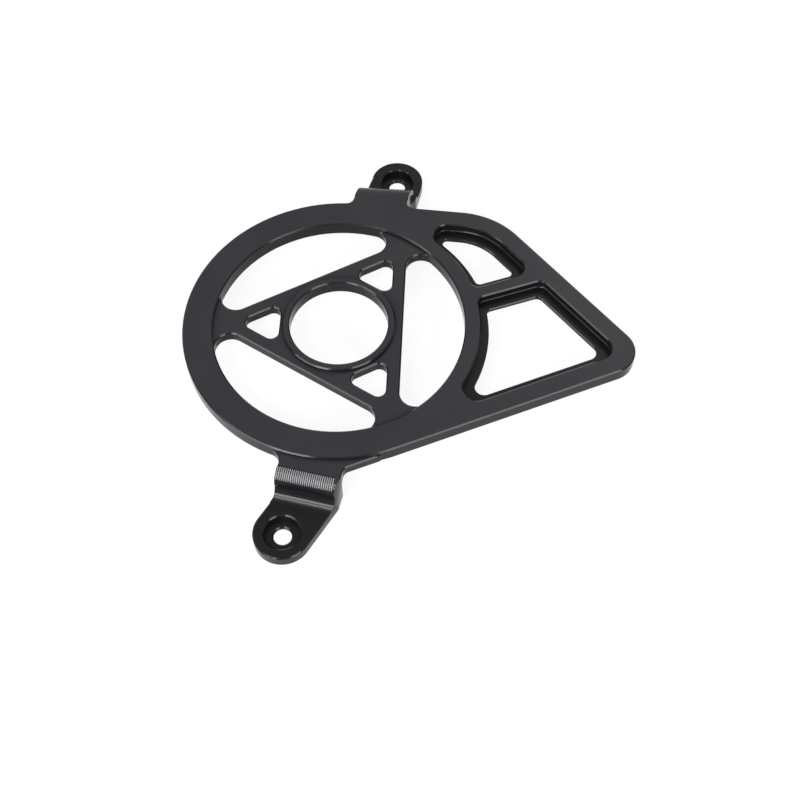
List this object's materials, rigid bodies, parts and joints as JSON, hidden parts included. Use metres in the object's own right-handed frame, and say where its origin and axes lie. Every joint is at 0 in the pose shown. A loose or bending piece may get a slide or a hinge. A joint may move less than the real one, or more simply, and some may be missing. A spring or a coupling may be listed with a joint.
{
  "type": "engine case saver",
  "caption": "Flat ring guard with a three-cornered web, a windowed side extension and two stepped screw feet that bolts over a motorbike engine side cover.",
  "frame": {"origin": "the middle of the footprint, in the plane of the two pads' undersides that bolt to the engine", "axes": "+Z along the ring's axis, away from the engine; +X towards the windowed extension; +Y towards the upper foot"},
  "size_m": [0.1726, 0.1862, 0.0171],
  "materials": {
    "guard": "satin black anodised"
  },
  "bodies": {
    "root": {"case_guard": "guard"}
  },
  "joints": []
}
